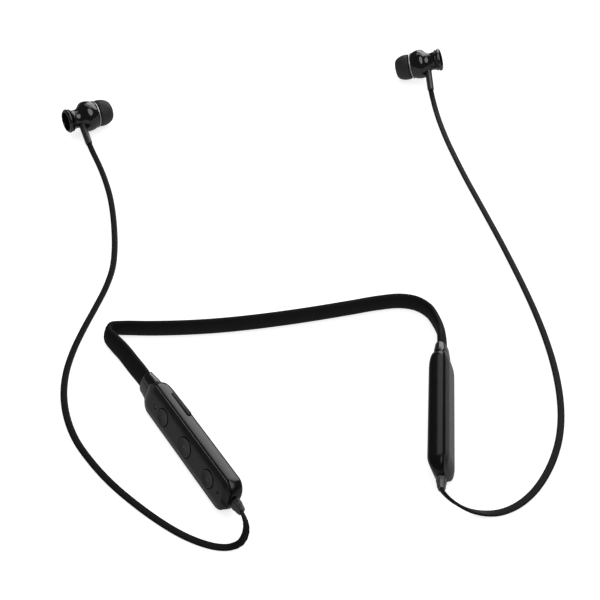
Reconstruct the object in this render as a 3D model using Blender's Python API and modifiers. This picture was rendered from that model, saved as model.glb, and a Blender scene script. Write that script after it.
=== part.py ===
"""Neckband earphones, lying on a table with both leads laid out.

A silicone neckband with a sprung steel wire joins two slim modules. The left one holds the board,
three buttons and a micro-USB charging port behind a rubber cover. The right one holds the battery.
A flat lead runs from each module to an earbud with a magnetic back and a pull-off silicone tip.

Lengths below are millimetres and angles are degrees. Everything is handed to Blender in metres.
The origin is under the middle of the neckband's back, on the table: +Z is up, +X is
the wearer's right-hand module and -Y is the open front of the U.
"""

import math

import bmesh
import bpy
from mathutils import Matrix, Vector

MM = 0.001
GAP = 0.3  # clearance between neighbouring solids

# Modules: the length runs along local X, the width along Y and the thickness along Z.
MODULE_END = 28.5  # the gland end, along a module's axis
MODULE_WIDTH = 12.4
MODULE_THICKNESS = 7.2
MODULE_CORNER = 5.2  # seen square on to the button face
MODULE_EDGE = 1.7  # round the two faces
MODULE_WALL = 1.0
LID_SPLIT = 2.3  # height of the parting line between the two shells
MODULE_HEIGHT = 6.7  # of a module's axis above the table
MODULES = {
    # origin in plan, angle of its axis from -Y towards the middle, tilt of its outer face from vertical,
    # neckband end of the casing along that axis, and length of its collar
    "left": {"centre": (-35.9, -58.6), "lean": 23.2, "roll": 23.0, "outward": -1, "neck": -30.3, "collar": 4.8},
    "right": {"centre": (54.0, -59.9), "lean": 15.4, "roll": 20.0, "outward": 1, "neck": -27.9, "collar": 3.8},
}

# Buttons on the left module's outer face, from the neckband end: volume down, play, volume up.
BUTTON_MIDDLE = 0.6
BUTTON_PITCH = 16.0
BUTTONS = {"volume_down_button": (-1, 6.4), "play_button": (0, 7.4), "volume_up_button": (1, 6.4)}
BUTTON_TOP = 3.75
SWITCH_ROW = -2.1  # the switches sit off the module's middle, clear of the charging port
BOARD_TOP = -1.4
BOARD_THICKNESS = 0.8

# Charging port in the left module's narrow upper side.
PORT_X = -14.4
PORT_Z = -1.4
PORT_MOUTH = (7.2, 1.8)
COVER_SIZE = (12.0, 2.2, 1.0)

# Neckband section, standing on its edge.
BAND_HEIGHT = 7.4
BAND_THICKNESS = 3.4
BAND_FOOT = 1.2  # width of the flat along its lower edge
JACKET_INSET = 1.3  # from the end of a module's casing, inside its collar
WIRE_INSET = 3.5  # inside the casing
CHANNEL = (4.6, 1.8)
CORE_RADIUS = 0.55
CORE_OFFSET = 1.25

# Earbud, measured along its axis from the back cap's rim towards the tip.
RING_AT = 15.0
STEM_AT = 7.2
STEM_LENGTH = 14.6
STEM_ROOT = 4.4
STEM_RADIUS = 1.65
TIP_RADIUS = 6.25
TURN_STEPS = 22
BUDS = {
    # middle of the front ring, heading of the axis in plan, dip of the tip, point the stem aims at and
    # its lean from square towards the back cap
    "left": {"ring": (-60.6, 145.9, 6.6), "heading": 24.0, "dip": 7.0, "stem_to": (-65.4, 129.2, 2.0), "lean": 7.5},
    "right": {"ring": (97.6, 158.8, 7.2), "heading": 164.0, "dip": 19.0, "stem_to": (104.4, 144.2, 2.2), "lean": 0.5},
}

# Flat leads.
LEAD_WIDTH = 2.6
LEAD_THICKNESS = 1.1
LEAD_TURN_AT_GLAND = {"left": 20, "right": 5}

# Route of the neckband's axis: x, y, height, roll of the outer face.
BAND_ROUTE = [
    (-50.4, -24.0, 6.6, 29),
    (-53.8, -16.0, 5.7, 31),
    (-57.3, -7.8, 4.8, 29),
    (-60.6, -1.4, 4.15, 24),
    (-62.4, 2.6, 3.87, 16),
    (-61.0, 5.9, 3.77, 8),
    (-56.6, 5.6, 3.71, 2),
    (-46.0, 3.6, 3.7, 0),
    (-33.0, 1.7, 3.7, 0),
    (-20.0, 0.5, 3.7, 0),
    (-7.0, 0.0, 3.7, 0),
    (7.0, 0.0, 3.7, 0),
    (20.0, 0.4, 3.7, 0),
    (33.0, 1.1, 3.7, 0),
    (45.0, 1.8, 3.7, 0),
    (54.0, 1.3, 3.7, 0),
    (60.0, -1.4, 3.7, 0),
    (63.6, -6.2, 3.74, 0),
    (64.8, -12.6, 4.15, 3),
    (64.7, -19.4, 5.4, 9),
    (63.7, -24.4, 6.6, 17),
]

# Routes of the leads' axes from gland to stem: x, y, height, turn of the flat side (90 lies flat).
LEFT_LEAD_ROUTE = [
    (-22.0, -92.7, 6.0, 35),
    (-22.3, -95.4, 3.9, 55),
    (-24.4, -97.8, 1.9, 75),
    (-28.0, -98.3, 0.85, 88),
    (-32.0, -97.5, 0.6, 90),
    (-36.9, -95.2, 0.6, 90),
    (-42.8, -91.1, 0.6, 90),
    (-49.7, -84.7, 0.6, 90),
    (-57.9, -75.5, 0.6, 90),
    (-65.6, -65.4, 0.6, 90),
    (-72.0, -54.8, 0.6, 90),
    (-77.0, -44.0, 0.6, 90),
    (-79.8, -33.0, 0.6, 90),
    (-80.6, -22.0, 0.6, 90),
    (-79.4, -11.0, 0.6, 90),
    (-76.3, 0.0, 0.6, 90),
    (-71.9, 10.9, 0.6, 90),
    (-66.9, 21.8, 0.6, 90),
    (-62.3, 32.4, 0.6, 90),
    (-58.9, 43.4, 0.6, 90),
    (-57.3, 55.0, 0.6, 90),
    (-56.7, 67.0, 0.6, 90),
    (-56.7, 80.0, 0.6, 90),
    (-57.4, 92.0, 0.6, 90),
    (-59.0, 104.0, 0.6, 90),
    (-61.0, 114.5, 0.6, 90),
    (-62.8, 122.2, 0.63, 90),
    (-63.9, 126.7, 0.98, 90),
]
RIGHT_LEAD_ROUTE = [
    (45.7, -93.6, 6.6, 12),
    (47.2, -95.6, 5.7, 24),
    (50.0, -97.6, 4.1, 38),
    (54.0, -99.3, 2.2, 54),
    (58.9, -100.4, 1.05, 74),
    (64.1, -100.6, 0.62, 88),
    (70.2, -99.1, 0.6, 90),
    (76.8, -95.4, 0.6, 90),
    (83.1, -89.8, 0.6, 90),
    (89.1, -82.5, 0.6, 90),
    (94.2, -74.2, 0.6, 90),
    (98.1, -65.3, 0.6, 90),
    (101.0, -56.0, 0.6, 90),
    (103.2, -46.0, 0.6, 90),
    (104.7, -36.0, 0.6, 90),
    (105.7, -25.0, 0.6, 90),
    (106.2, -14.0, 0.6, 90),
    (106.3, -3.0, 0.6, 90),
    (106.1, 9.0, 0.6, 90),
    (105.7, 21.0, 0.6, 90),
    (105.1, 34.0, 0.6, 90),
    (104.3, 47.0, 0.6, 90),
    (103.4, 61.0, 0.6, 90),
    (102.5, 75.0, 0.6, 90),
    (101.9, 90.0, 0.6, 90),
    (101.6, 105.0, 0.6, 90),
    (102.0, 120.0, 0.6, 90),
    (102.8, 131.0, 0.6, 90),
    (103.5, 137.4, 0.64, 90),
    (103.85, 141.3, 0.98, 90),
]

# Colour, roughness and metallic value of each finish.
FINISHES = {
    "silicone": ((0.012, 0.012, 0.013), 0.55, 0.0),
    "gloss": ((0.006, 0.006, 0.007), 0.12, 0.0),
    "satin": ((0.02, 0.02, 0.022), 0.35, 0.0),
    "steel": ((0.55, 0.55, 0.56), 0.3, 1.0),
    "gold": ((0.75, 0.58, 0.25), 0.3, 1.0),
    "board": ((0.01, 0.10, 0.035), 0.5, 0.0),
    "chip": ((0.015, 0.015, 0.016), 0.6, 0.0),
    "foil": ((0.62, 0.63, 0.65), 0.35, 0.6),
    "lens": ((0.5, 0.5, 0.55), 0.2, 0.0),
    "wire": ((0.4, 0.02, 0.02), 0.45, 0.0),
}


# ---------------------------------------------------------------------------------------- helpers


def clear_scene():
    for item in list(bpy.data.objects):
        bpy.data.objects.remove(item, do_unlink=True)


def new_collection(name):
    collection = bpy.data.collections.new(name)
    bpy.context.scene.collection.children.link(collection)
    return collection


def add_finish(item, finish):
    colour, roughness, metallic = FINISHES[finish]
    material = bpy.data.materials.new(f"{item.name} {finish}")
    material.use_nodes = True
    shader = material.node_tree.nodes["Principled BSDF"]
    shader.inputs["Base Color"].default_value = (*colour, 1.0)
    shader.inputs["Roughness"].default_value = roughness
    shader.inputs["Metallic"].default_value = metallic
    material.diffuse_color = (*colour, 1.0)
    item.data.materials.append(material)


def add_object(name, mesh, parent, finish, origin=(0, 0, 0)):
    """Link a mesh as a named part, or as a cutter when it has no finish."""
    item = bpy.data.objects.new(name, mesh)
    item.parent = parent
    item.location = Vector(origin) * MM
    if finish is None:
        item.display_type = "WIRE"
        item.hide_render = True
        CUTTERS.objects.link(item)
    else:
        add_finish(item, finish)
        PARTS.objects.link(item)
    return item


def mesh_of(name, fill):
    """A mesh from a function that fills a bmesh."""
    mesh = bpy.data.meshes.new(name)
    shape = bmesh.new()
    fill(shape)
    shape.to_mesh(mesh)
    shape.free()
    return mesh


def shade_round(item, sharp_degrees=35):
    item.data.shade_smooth()
    item.data.set_sharp_from_angle(angle=math.radians(sharp_degrees))


def box(name, centre, size, parent, finish=None, radius=0.0, segments=3, origin=(0, 0, 0)):
    """A box, its edges rounded by a Bevel when it has a radius."""
    place = Matrix.Translation((Vector(centre) - Vector(origin)) * MM)
    scale = Matrix.Diagonal((*(Vector(size) * MM), 1.0))
    mesh = mesh_of(name, lambda shape: bmesh.ops.create_cube(shape, size=1.0, matrix=place @ scale))
    item = add_object(name, mesh, parent, finish, origin)
    if radius:
        bevel = item.modifiers.new("rounded edges", "BEVEL")
        bevel.width = radius * MM
        bevel.segments = segments
        bevel.limit_method = "NONE"
        shade_round(item)
    return item


def case_block(name, span, width, thickness, corner, edge, parent, finish=None):
    """A module's block: its corners are rounded in plan and both its faces have a rounded edge."""

    def fill(shape):
        start, end = span
        scale = Matrix.Diagonal(((end - start) * MM, width * MM, thickness * MM, 1.0))
        middle = Matrix.Translation(((start + end) / 2 * MM, 0, 0))
        bmesh.ops.create_cube(shape, size=1.0, matrix=middle @ scale)
        upright = [e for e in shape.edges if abs(e.verts[0].co.z - e.verts[1].co.z) > 0.5 * thickness * MM]
        bmesh.ops.bevel(
            shape, geom=upright, offset=corner * MM, offset_type="OFFSET", segments=6, profile=0.5,
            affect="EDGES",
        )

    item = add_object(name, mesh_of(name, fill), parent, finish)
    bevel = item.modifiers.new("rounded edges", "BEVEL")
    bevel.width = edge * MM
    bevel.segments = 3
    bevel.limit_method = "ANGLE"
    bevel.angle_limit = math.radians(60)
    shade_round(item)
    return item


def rod(name, start, end, radius, parent, finish=None, sides=20, end_radius=None, origin=(0, 0, 0), flat=1.0):
    """A round or tapered rod between two points; flat squashes its local Y."""
    first, last = (Vector(start) - Vector(origin)) * MM, (Vector(end) - Vector(origin)) * MM
    turn = (last - first).to_track_quat("Z", "Y").to_matrix().to_4x4()
    place = Matrix.Translation((first + last) / 2) @ turn @ Matrix.Diagonal((1.0, flat, 1.0, 1.0))
    mesh = mesh_of(
        name,
        lambda shape: bmesh.ops.create_cone(
            shape,
            cap_ends=True,
            segments=sides,
            radius1=radius * MM,
            radius2=(radius if end_radius is None else end_radius) * MM,
            depth=(last - first).length,
            matrix=place,
        ),
    )
    item = add_object(name, mesh, parent, finish, origin)
    shade_round(item)
    return item


def turned(name, outline, parent, finish=None, closed=False, steps=TURN_STEPS, origin_z=0.0):
    """A piece turned about local Z from an outline of (radius, height) down its outer side."""

    def fill(shape):
        corners = [shape.verts.new((r * MM, 0.0, (z - origin_z) * MM)) for r, z in outline]
        pairs = list(zip(corners, corners[1:]))
        if closed:
            pairs.append((corners[-1], corners[0]))
        for pair in pairs:
            shape.edges.new(pair)

    item = add_object(name, mesh_of(name, fill), parent, finish, (0, 0, origin_z))
    screw = item.modifiers.new("turned", "SCREW")
    screw.axis = "Z"
    screw.steps = steps
    screw.render_steps = steps
    screw.use_merge_vertices = True
    screw.merge_threshold = 0.00001
    screw.use_smooth_shade = True
    return item


def boolean(item, operation, *tools):
    for tool in tools:
        step = item.modifiers.new(f"{operation.lower()} {tool.name}", "BOOLEAN")
        step.operation = operation
        step.object = tool
        step.solver = "EXACT"


def arc(centre, radius, start, end, steps):
    """Points of an arc in the (radius, height) plane, for a turned outline."""
    points = []
    for step in range(steps + 1):
        angle = math.radians(start + (end - start) * step / steps)
        points.append((centre[0] + radius * math.cos(angle), centre[1] + radius * math.sin(angle)))
    return points


def smooth_route(route, longest, sharpest=14.0, fine=40):
    """Read a smooth curve through the route's points, closer together where it turns."""
    knots = [Vector(point) for point in route]
    knots = [2 * knots[0] - knots[1], *knots, 2 * knots[-1] - knots[-2]]
    dense = []
    for a, b, c, d in zip(knots, knots[1:], knots[2:], knots[3:]):
        t1 = (b.xyz - a.xyz).length ** 0.5
        t2 = t1 + (c.xyz - b.xyz).length ** 0.5
        t3 = t2 + (d.xyz - c.xyz).length ** 0.5
        for step in range(fine):
            t = t1 + (t2 - t1) * step / fine
            ab = a.lerp(b, t / t1)
            bc = b.lerp(c, (t - t1) / (t2 - t1))
            cd = c.lerp(d, (t - t2) / (t3 - t2))
            abc = ab.lerp(bc, t / t2)
            bcd = bc.lerp(cd, (t - t1) / (t3 - t1))
            dense.append(abc.lerp(bcd, (t - t1) / (t2 - t1)))
    dense.append(knots[-2])
    points, heading, walked = [dense[0]], dense[1].xyz - dense[0].xyz, 0.0
    for last, point in zip(dense, dense[1:]):
        step = point.xyz - last.xyz
        walked += step.length
        if walked > longest or (walked > 1.0 and math.degrees(heading.angle(step)) > sharpest):
            points.append(last)
            heading, walked = step, 0.0
    if (points[-1].xyz - dense[-1].xyz).length < 0.4 * longest:
        points.pop()
    points.append(dense[-1])
    return points


def path_curve(name, points):
    """A 3D poly curve through points of x, y, height and roll, kept upright by its twist mode."""
    curve = bpy.data.curves.new(name, "CURVE")
    curve.dimensions = "3D"
    curve.twist_mode = "Z_UP"
    curve.use_fill_caps = True
    spline = curve.splines.new("POLY")
    spline.points.add(len(points) - 1)
    for knot, point in zip(spline.points, points):
        knot.co = (*(point.xyz * MM), 1.0)
        knot.tilt = math.radians(point.w)
    return curve


def mesh_from_curve(name, curve, finish=None):
    """Turn a curve into a welded mesh object, since a curve takes no Boolean."""
    source = bpy.data.objects.new(f"{name} curve", curve)
    CUTTERS.objects.link(source)
    bpy.context.view_layer.update()
    seen = source.evaluated_get(bpy.context.evaluated_depsgraph_get())
    mesh = bpy.data.meshes.new_from_object(seen)
    bpy.data.objects.remove(source, do_unlink=True)
    mesh.name = name
    shape = bmesh.new()
    shape.from_mesh(mesh)
    bmesh.ops.remove_doubles(shape, verts=shape.verts, dist=0.00001)
    bmesh.ops.recalc_face_normals(shape, faces=shape.faces)
    shape.to_mesh(mesh)
    shape.free()
    mesh.materials.clear()
    item = add_object(name, mesh, None, finish)
    shade_round(item, 50)
    return item


def profile_curve(name, outline):
    """A closed flat outline for a swept piece: x across the band's thickness, y up its height."""
    curve = bpy.data.curves.new(name, "CURVE")
    curve.dimensions = "2D"
    spline = curve.splines.new("POLY")
    spline.points.add(len(outline) - 1)
    for knot, (x, y) in zip(spline.points, outline):
        knot.co = (x * MM, y * MM, 0.0, 1.0)
    spline.use_cyclic_u = True
    item = bpy.data.objects.new(name, curve)
    item.display_type = "WIRE"
    item.hide_render = True
    CUTTERS.objects.link(item)
    return item


def swept(name, outline, points, finish=None):
    """Sweep an outline along a route."""
    curve = path_curve(name, points)
    curve.bevel_mode = "OBJECT"
    curve.bevel_object = profile_curve(f"{name} section", outline)
    return mesh_from_curve(name, curve, finish)


def oval(width, height, sides, foot=0.0, middle=0.0):
    """An oval outline; its lowest side can be cut to a flat foot of a given width."""
    points = []
    for step in range(sides):
        angle = 2 * math.pi * (step + 0.5) / sides - math.pi / 2
        x, y = width / 2 * math.cos(angle), height / 2 * math.sin(angle)
        if foot and step in (0, sides - 1):
            x, y = math.copysign(foot / 2, x), -height / 2
        points.append((x, y + middle))
    return points


def frame_empty(name, origin, x_axis, z_axis):
    """An empty whose axes the pieces of a sub-assembly are laid out in."""
    x, z = Vector(x_axis).normalized(), Vector(z_axis).normalized()
    y = z.cross(x).normalized()
    x = y.cross(z)
    empty = bpy.data.objects.new(name, None)
    empty.empty_display_size = 0.01
    empty.matrix_world = Matrix.Translation(Vector(origin) * MM) @ Matrix((x, y, z)).transposed().to_4x4()
    PARTS.objects.link(empty)
    return empty


# ---------------------------------------------------------------------------------------- modules


def module_frame(side):
    """Local X runs from the neckband end to the lead end, local Z out of the outer face."""
    layout = MODULES[side]
    lean, roll, outward = math.radians(layout["lean"]), math.radians(layout["roll"]), layout["outward"]
    along = Vector((-outward * math.sin(lean), -math.cos(lean), 0))
    sideways = Vector((outward * math.cos(lean), -math.sin(lean), 0))
    face = math.cos(roll) * sideways + math.sin(roll) * Vector((0, 0, 1))
    return frame_empty(f"{side}_module_frame", (*layout["centre"], MODULE_HEIGHT), along, face)


def module_shells(side, frame, outer_name, inner_name):
    """The two halves of a module's casing, parted near the outer face."""
    neck = MODULES[side]["neck"]
    size = ((neck, MODULE_END), MODULE_WIDTH, MODULE_THICKNESS, MODULE_CORNER, MODULE_EDGE)
    wall = MODULE_WALL
    cavity = case_block(
        f"{side}_cavity", (neck + wall, MODULE_END - wall), MODULE_WIDTH - 2 * wall, MODULE_THICKNESS - 2 * wall,
        MODULE_CORNER - wall, MODULE_EDGE - wall, frame,
    )
    big = 2 * MODULE_WIDTH
    low_side = box(
        f"{side}_below_parting", (0, 0, LID_SPLIT + 0.15 - big / 2), (4 * MODULE_END, big, big), frame
    )
    high_side = box(
        f"{side}_above_parting", (0, 0, LID_SPLIT - 0.15 + big / 2), (4 * MODULE_END, big, big), frame
    )
    neck_hole = rod(f"{side}_neck_hole", (neck - 2, 0, 0), (neck + 3, 0, 0), 3.1, frame, flat=0.65)
    lead_hole = rod(f"{side}_lead_hole", (MODULE_END - 3, 0, 0), (MODULE_END + 2, 0, 0), 1.5, frame, sides=12)
    outer = case_block(outer_name, *size, frame, "gloss")
    inner = case_block(inner_name, *size, frame, "gloss")
    boolean(outer, "DIFFERENCE", low_side, cavity)
    boolean(inner, "DIFFERENCE", high_side, cavity, neck_hole, lead_hole)
    return outer, inner


def collar(side, frame):
    """Oval collar between the neckband and a module, with a neck through the casing's end."""
    end, length = MODULES[side]["neck"], MODULES[side]["collar"]
    outside = rod(
        f"{side}_collar", (end - length, 0, 0), (end - GAP, 0, 0), 4.7, frame, "gloss", 24, 5.5, flat=0.5
    )
    neck = rod(f"{side}_collar_neck", (end - 1, 0, 0), (end + 2.4, 0, 0), 2.75, frame, flat=0.62)
    socket = rod(f"{side}_collar_socket", (end - 6, 0, 0), (end - 1.1, 0, 0), 4.05, frame, flat=0.48)
    channel = rod(f"{side}_collar_channel", (end - 3, 0, 0), (end + 4, 0, 0), 2.15, frame, flat=0.42)
    boolean(outside, "UNION", neck)
    boolean(outside, "DIFFERENCE", socket, channel)


def gland(side, frame):
    """Six-sided strain relief where the lead leaves a module."""
    end = MODULE_END
    block = rod(
        f"{side}_gland", (end + GAP, 0, 0), (end + 4.6, 0, 0), 2.6, frame, "satin", 6, 1.9, flat=0.72
    )
    neck = rod(f"{side}_gland_neck", (end - 2.2, 0, 0), (end + 1, 0, 0), 1.15, frame, sides=12)
    boolean(block, "UNION", neck)


def button_places():
    return {name: BUTTON_MIDDLE + step * BUTTON_PITCH for name, (step, _) in BUTTONS.items()}


def control_module():
    """Left module: board, switches, buttons, microphone, status light and charging port."""
    frame = module_frame("left")
    front, rear = module_shells("left", frame, "left_front_shell", "left_rear_shell")
    collar("left", frame)
    gland("left", frame)

    for name, place in button_places().items():
        diameter = BUTTONS[name][1]
        key = rod(
            name, (place, 0, 2.15), (place, 0, BUTTON_TOP), diameter / 2, frame, "gloss", 28,
            origin=(place, 0, BUTTON_TOP),
        )
        rim = rod(f"{name}_rim", (place, 0, 1.85), (place, 0, 2.25), diameter / 2 + 0.6, frame, sides=28)
        foot = rod(
            f"{name}_foot", (place, SWITCH_ROW, 0.65), (place, SWITCH_ROW, 2.0), 1.0, frame, sides=12
        )
        hole = rod(f"{name}_hole", (place, 0, 1), (place, 0, 6), diameter / 2 + GAP, frame, sides=28)
        boolean(key, "UNION", rim, foot)
        boolean(front, "DIFFERENCE", hole)

        number = name.split("_button")[0]
        body = box(
            f"{number}_switch", (place, SWITCH_ROW, BOARD_TOP + GAP + 0.4), (3.2, 3.2, 0.8), frame, "steel"
        )
        stud = rod(
            f"{number}_stud", (place, SWITCH_ROW, -0.6), (place, SWITCH_ROW, 0.2), 0.8, frame, sides=12
        )
        boolean(body, "UNION", stud)

    board_z = BOARD_TOP - BOARD_THICKNESS / 2
    board = box("main_board", (0, 0, board_z), (50.0, 8.6, BOARD_THICKNESS), frame, "board")
    notch = box("socket_notch", (PORT_X, 4.5, board_z), (PORT_MOUTH[0] + 1.4, 9.8, 2), frame)
    boolean(board, "DIFFERENCE", notch)
    box("bluetooth_chip", (10.2, 0, BOARD_TOP + GAP + 0.4), (5.0, 5.0, 0.8), frame, "chip")
    box("microphone", (23.2, 0, BOARD_TOP + GAP + 0.5), (2.6, 2.4, 1.0), frame, "gold")
    sound_hole = rod("microphone_hole", (23.2, 0, 1), (23.2, 0, 6), 0.45, frame, sides=12)
    light_x = -21.6
    light = rod("status_light", (light_x, 0, -0.4), (light_x, 0, 3.5), 0.6, frame, "lens", 12)
    light_hole = rod("status_light_hole", (light_x, 0, 1), (light_x, 0, 6), 0.6 + GAP, frame, sides=12)
    boolean(front, "DIFFERENCE", sound_hole, light_hole)
    charging_port(frame, rear)


def charging_port(frame, rear):
    """Micro-USB socket behind a hinged rubber cover in the narrow upper side."""
    top = MODULE_WIDTH / 2
    depth = 5.0
    long, high = PORT_MOUTH
    wall_face = top - MODULE_WALL
    socket = box(
        "usb_socket", (PORT_X, wall_face - GAP - depth / 2, PORT_Z), (long + 0.8, depth, high + 0.4),
        frame, "steel",
    )
    mouth = box(
        "usb_mouth", (PORT_X, wall_face - GAP - depth / 2 + 0.8, PORT_Z), (long, depth, high), frame
    )
    boolean(socket, "DIFFERENCE", mouth)
    opening = box("port_opening", (PORT_X, top, PORT_Z), (long, 6, high), frame)

    length, width, thick = COVER_SIZE
    hinge_x = PORT_X - length / 2
    pocket = box(
        "port_pocket", (PORT_X, top, PORT_Z), (length + 2 * GAP, 2 * (thick - 0.1) + 2 * GAP, width + 2 * GAP),
        frame,
    )
    boolean(rear, "DIFFERENCE", pocket, opening)
    cover = box(
        "port_cover", (PORT_X, top + 0.1 - thick / 2, PORT_Z), (length, thick, width), frame, "silicone",
        0.35, 2, origin=(hinge_x, top + 0.1, PORT_Z),
    )
    plug = box("port_plug", (PORT_X, top - thick - 0.6, PORT_Z), (long - 1.2, 2.4, high - 0.9), frame)
    boolean(cover, "UNION", plug)


def battery_module():
    """Right module: a pouch cell and its protection board."""
    frame = module_frame("right")
    module_shells("right", frame, "right_outer_shell", "right_inner_shell")
    collar("right", frame)
    gland("right", frame)
    box("battery_cell", (-1.6, 0, -0.1), (42.0, 9.2, 4.2), frame, "foil", 1.0, 2)
    box("protection_board", (22.6, 0, 0), (5.0, 7.4, 0.8), frame, "board")


# --------------------------------------------------------------------------------------- neckband


def band_end(side, along):
    """A point of the neckband's route on a module's axis, with the module's roll."""
    middle = bpy.data.objects[f"{side}_module_frame"].matrix_world @ (Vector((along, 0, 0)) * MM) / MM
    return Vector((*middle, MODULES[side]["roll"]))


def neckband():
    """Silicone jacket with a channel for the sprung wire and the battery lead."""
    ends = {side: MODULES[side]["neck"] for side in MODULES}
    route = [
        band_end("left", ends["left"] - JACKET_INSET), *BAND_ROUTE, band_end("right", ends["right"] - JACKET_INSET)
    ]
    points = smooth_route(route, 6.0)
    long_points = [
        band_end("left", ends["left"] + WIRE_INSET), *points, band_end("right", ends["right"] + WIRE_INSET)
    ]
    jacket = swept("neckband_jacket", oval(BAND_THICKNESS, BAND_HEIGHT, 14, BAND_FOOT), points, "silicone")
    boolean(jacket, "DIFFERENCE", swept("neckband_channel", oval(CHANNEL[1], CHANNEL[0], 8), long_points))
    wire = 2 * CORE_RADIUS
    swept("memory_wire", oval(wire, wire, 6, middle=-CORE_OFFSET), long_points, "steel")
    swept("battery_lead", oval(wire, wire, 6, middle=CORE_OFFSET), long_points, "wire")


# ----------------------------------------------------------------------------------------- earbuds


def bud_axes(side):
    """Axis towards the tip, the stem's root point and the stem's direction, in the row frame."""
    layout = BUDS[side]
    heading, dip = math.radians(layout["heading"]), math.radians(layout["dip"])
    axis = Vector((math.cos(heading) * math.cos(dip), math.sin(heading) * math.cos(dip), -math.sin(dip)))
    root = Vector(layout["ring"]) - axis * (RING_AT - STEM_AT)
    aim = (Vector(layout["stem_to"]) - root).normalized()
    square = (aim - aim.dot(axis) * axis).normalized()
    lean = math.radians(layout["lean"])
    return axis, root, square, math.cos(lean) * square - math.sin(lean) * axis


def stem_end(side):
    """Centre of the stem's free end."""
    _, root, _, stem = bud_axes(side)
    return root + stem * STEM_LENGTH, stem


def earbud(side):
    """Local Z runs from the magnetic back cap to the ear tip and local X along the stem."""
    axis, _, square, _ = bud_axes(side)
    base = Vector(BUDS[side]["ring"]) - axis * RING_AT
    frame = frame_empty(f"{side}_bud_frame", base, square, axis)

    turned(
        f"{side}_back_cap",
        [(0, 1.9), (4.9, 1.9), *arc((4.9, 0.95), 0.6, 60, -60, 3), (4.7, 0.0), (3.9, 0.9), (0, 0.9)],
        frame,
        "gloss",
    )
    turned(f"{side}_magnet", [(0, 4.9), (3.0, 4.9), (3.0, 2.5), (0, 2.5)], frame, "steel", steps=16)
    housing = turned(
        f"{side}_rear_housing",
        [
            (5.3, 14.4), (6.2, 14.4), (6.8, 12.6), (7.1, 10.6), (7.0, 8.9), (6.3, 7.8), (5.0, 6.6),
            (4.5, 5.0), (4.5, 3.6), (5.2, 2.2), (3.5, 2.2), (3.5, 5.4), (0, 5.4),
            (0, 6.4), (3.4, 6.4), (3.7, 7.8), (5.4, 9.0), (5.7, 10.6), (5.3, 12.6),
        ],
        frame,
        "gloss",
        closed=True,
    )
    lean = math.radians(BUDS[side]["lean"])
    along = Vector((math.cos(lean), 0, -math.sin(lean)))
    root = Vector((0, 0, STEM_AT))
    stem_hole = rod(
        f"{side}_stem_hole", root + along * 3.0, root + along * 9.0, STEM_RADIUS + GAP, frame, sides=16
    )
    boolean(housing, "DIFFERENCE", stem_hole)
    rod(
        f"{side}_stem", root + along * STEM_ROOT, root + along * STEM_LENGTH, STEM_RADIUS, frame, "satin",
        16, STEM_RADIUS - 0.12,
    )
    turned(
        f"{side}_driver",
        [(0, 13.6), (4.8, 13.6), (4.8, 12.2), (3.6, 11.4), (3.6, 9.6), (0, 9.6)],
        frame,
        "foil",
        steps=16,
    )
    turned(
        f"{side}_trim_ring", [(5.4, 15.3), (6.1, 15.3), (6.25, 15.0), (6.1, 14.7), (5.4, 14.7)], frame,
        "steel", closed=True,
    )
    turned(
        f"{side}_nozzle",
        [
            (1.8, 20.6), (2.6, 20.6), (2.6, 16.2), (5.1, 15.6), (5.1, 14.7), (1.8, 14.7),
        ],
        frame,
        "satin",
        closed=True,
        steps=18,
    )
    turned(f"{side}_nozzle_mesh", [(0, 20.3), (1.5, 20.3), (1.5, 19.9), (0, 19.9)], frame, "steel", steps=12)
    ear_tip(side, frame)


def ear_tip(side, frame):
    """Silicone tip: a sleeve on the nozzle that turns back into a dome."""
    base, dome_top = 15.9, 22.9
    outside = [
        (2.9, dome_top - 0.1), (3.3, dome_top), *[
            (
                3.3 + (TIP_RADIUS - 3.3) * math.sin(math.radians(angle)),
                17.2 + (dome_top - 17.2) * math.cos(math.radians(angle)),
            )
            for angle in (25, 50, 72, 90)
        ],
        (6.0, base),
    ]
    inside = [(5.5, base), (5.6, 17.2), (5.1, 19.4), (4.0, 21.0), (3.6, 16.6), (2.9, 16.6)]
    turned(f"{side}_ear_tip", outside + inside, frame, "silicone", closed=True, origin_z=base)


# ------------------------------------------------------------------------------------------- leads


def lead(side, route):
    """Flat lead from the module's gland to the earbud's stem, lying on the table."""
    frame = bpy.data.objects[f"{side}_module_frame"].matrix_world
    start = frame @ (Vector((MODULE_END + 4.6 + GAP, 0, 0)) * MM) / MM
    end, stem = stem_end(side)
    end += stem * GAP
    knots = [(*start, LEAD_TURN_AT_GLAND[side]), *route, (*end, 90)]
    curve = path_curve(f"{side}_lead", smooth_route(knots, 7.6))
    curve.bevel_mode = "ROUND"
    curve.bevel_depth = LEAD_THICKNESS / 2 * MM
    curve.bevel_resolution = 2
    curve.extrude = (LEAD_WIDTH - LEAD_THICKNESS) / 2 * MM
    item = bpy.data.objects.new(f"{side}_lead", curve)
    add_finish(item, "silicone")
    PARTS.objects.link(item)


def build():
    control_module()
    battery_module()
    neckband()
    for side in BUDS:
        earbud(side)
    lead("left", LEFT_LEAD_ROUTE)
    lead("right", RIGHT_LEAD_ROUTE)
    bpy.context.view_layer.update()


clear_scene()
PARTS = new_collection("neckband_earphones")
CUTTERS = new_collection("cutters")
build()
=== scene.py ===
"""Looks of the neckband earphones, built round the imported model.

Lengths below are millimetres in the model's own frame and angles are degrees: +Z is up, +X is the
wearer's right-hand module and -Y is the open front of the U. Pieces are handed to Blender in metres.
"""

import math

import bmesh
import bpy
from mathutils import Matrix, Vector


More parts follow.
